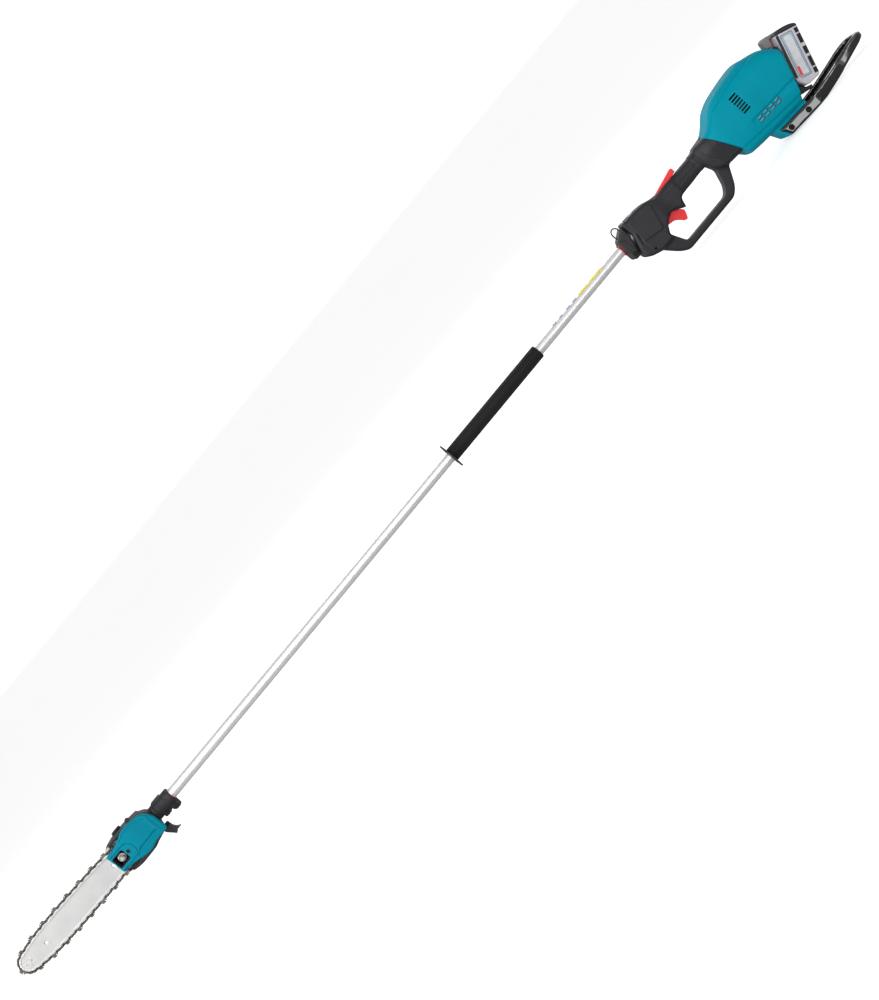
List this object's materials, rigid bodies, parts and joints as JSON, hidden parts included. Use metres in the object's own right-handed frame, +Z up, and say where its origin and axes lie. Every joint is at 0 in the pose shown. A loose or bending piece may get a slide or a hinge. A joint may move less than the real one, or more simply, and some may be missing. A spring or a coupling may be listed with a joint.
{
  "type": "battery pole saw",
  "caption": "Long-reach battery pole saw: guide bar and chain on a gear head, straight tube with front grip, trigger handle, rear motor housing, hoop and battery.",
  "frame": {"origin": "middle of the bottom of the bounding box, as the saw lies on its rear hoop", "axes": "+X along the pole from the saw to the battery, +Z up through the lock-off lever, -Y the left side, with the chain cover"},
  "size_m": [2.6834, 0.114, 0.1965],
  "materials": {
    "teal_plastic": "satin",
    "black_plastic": "fine grain",
    "black_rubber": "matt",
    "gloss_black": "gloss",
    "red_plastic": "satin",
    "red_seal": "satin",
    "grey_plastic": "fine grain",
    "pole_aluminium": "satin drawn",
    "bright_steel": "satin",
    "dark_steel": "oiled",
    "copper_windings": "varnished",
    "circuit_board": "satin",
    "natural_nylon": "matt",
    "cell_cans": "satin"
  },
  "bodies": {
    "frame": {"motor_housing_left": "teal_plastic", "motor_housing_right": "teal_plastic", "gear_case": "black_plastic", "gear_case_lid": "black_plastic", "oil_tank": "black_plastic", "branch_hook": "black_plastic", "pole_clamp": "black_plastic", "hand_stop_flange": "black_plastic", "front_clamp": "black_plastic", "handle_shell_left": "black_plastic", "handle_shell_right": "black_plastic", "trigger_switch": "black_plastic", "terminal_block": "black_plastic", "front_grip_sleeve": "black_rubber", "rear_hoop": "gloss_black", "front_seal_ring": "red_seal", "rear_seal_ring": "red_seal", "pole_tube": "pole_aluminium", "guide_plate": "bright_steel", "bar_stud": "bright_steel", "sprocket_bearing": "bright_steel", "front_clamp_screw": "bright_steel", "strap_loop": "bright_steel", "trigger_pin": "bright_steel", "trigger_spring": "bright_steel", "motor_bearing_front": "bright_steel", "motor_bearing_rear": "bright_steel", "clamp_screw_front": "dark_steel", "clamp_screw_rear": "dark_steel", "hoop_screw_1": "dark_steel", "hoop_screw_2": "dark_steel", "motor_stator": "copper_windings", "controller_board": "circuit_board", "shaft_bushing_1": "natural_nylon", "shaft_bushing_2": "natural_nylon", "shaft_bushing_3": "natural_nylon"},
    "trigger": {"trigger": "red_plastic"},
    "lock_lever": {"lock_off_lever": "red_plastic"},
    "power_button": {"power_button": "grey_plastic"},
    "drive_line": {"drive_shaft": "bright_steel", "shaft_coupling": "bright_steel", "motor_shaft": "bright_steel", "motor_rotor": "dark_steel", "cooling_fan": "black_rubber", "bevel_pinion": "bright_steel"},
    "sprocket": {"drive_sprocket": "bright_steel", "sprocket_shaft": "bright_steel", "bevel_gear": "bright_steel"},
    "bar": {"guide_bar": "bright_steel", "saw_chain": "dark_steel", "tension_pin": "bright_steel"},
    "nose_wheel": {"nose_sprocket": "dark_steel"},
    "tension_screw": {"chain_tension_screw": "dark_steel"},
    "cover": {"sprocket_cover": "teal_plastic"},
    "nut": {"bar_nut": "bright_steel"},
    "oil_cap": {"oil_cap": "black_rubber"},
    "battery": {"battery_case": "grey_plastic", "battery_top": "black_plastic", "battery_cells": "cell_cans"},
    "latch": {"battery_latch": "grey_plastic"}
  },
  "joints": [
    {"name": "trigger_pull", "type": "hinge", "parent": "frame", "child": "trigger", "pos_m": [0.77172, 0, 0.101], "axis": [0, -1, 0], "range_deg": [0, 12], "stiffness_Nm_per_rad": 0.5, "springref_deg": -17.19},
    {"name": "lock_off_press", "type": "hinge", "parent": "frame", "child": "lock_lever", "pos_m": [0.79572, 0, 0.141], "axis": [0, 1, 0], "range_deg": [0, 7], "stiffness_Nm_per_rad": 0.3, "springref_deg": -17.19},
    {"name": "power_button_press", "type": "slide", "parent": "frame", "child": "power_button", "axis": [0, 0, -1], "range_m": [0, 0.0015], "stiffness_N_per_m": 300, "springref_m": -0.002},
    {"name": "shaft_spin", "type": "hinge", "parent": "frame", "child": "drive_line", "pos_m": [0.00072, 0, 0.124], "axis": [1, 0, 0], "continuous": true},
    {"name": "sprocket_spin", "type": "hinge", "parent": "frame", "child": "sprocket", "pos_m": [-0.94928, -0.021, 0.124], "axis": [0, 1, 0], "continuous": true},
    {"name": "bar_adjust", "type": "slide", "parent": "frame", "child": "bar", "axis": [0.9996, 0, -0.0297], "range_m": [0, 0.006]},
    {"name": "nose_sprocket_spin", "type": "hinge", "parent": "bar", "child": "nose_wheel", "pos_m": [-1.31165, -0.021, 0.13093], "axis": [0, 1, 0], "continuous": true},
    {"name": "tension_screw_turn", "type": "hinge", "parent": "frame", "child": "tension_screw", "pos_m": [-0.98998, -0.021, 0.122], "axis": [0, 1, 0], "range_deg": [0, 2161]},
    {"name": "cover_removal", "type": "slide", "parent": "frame", "child": "cover", "axis": [0, -1, 0], "range_m": [0, 0.03]},
    {"name": "bar_nut_turn", "type": "hinge", "parent": "cover", "child": "nut", "pos_m": [-1.01078, -0.036, 0.122], "axis": [0, 1, 0], "continuous": true},
    {"name": "oil_cap_turn", "type": "hinge", "parent": "frame", "child": "oil_cap", "pos_m": [-0.98728, 0.015, 0.164], "axis": [0, 0, 1], "continuous": true},
    {"name": "battery_removal", "type": "slide", "parent": "frame", "child": "battery", "axis": [0.3746, 0, 0.9272], "range_m": [0, 0.12]},
    {"name": "latch_press", "type": "slide", "parent": "battery", "child": "latch", "axis": [0.9272, 0, -0.3746], "range_m": [0, 0.004], "stiffness_N_per_m": 800, "springref_m": -0.003}
  ],
  "couplings": [
    {"joint": "sprocket_spin", "follows": "shaft_spin", "ratio": -0.73684},
    {"joint": "nose_sprocket_spin", "follows": "shaft_spin", "ratio": -0.49123},
    {"joint": "tension_screw_turn", "follows": "bar_adjust", "rad_per_m": 6283.2}
  ]
}
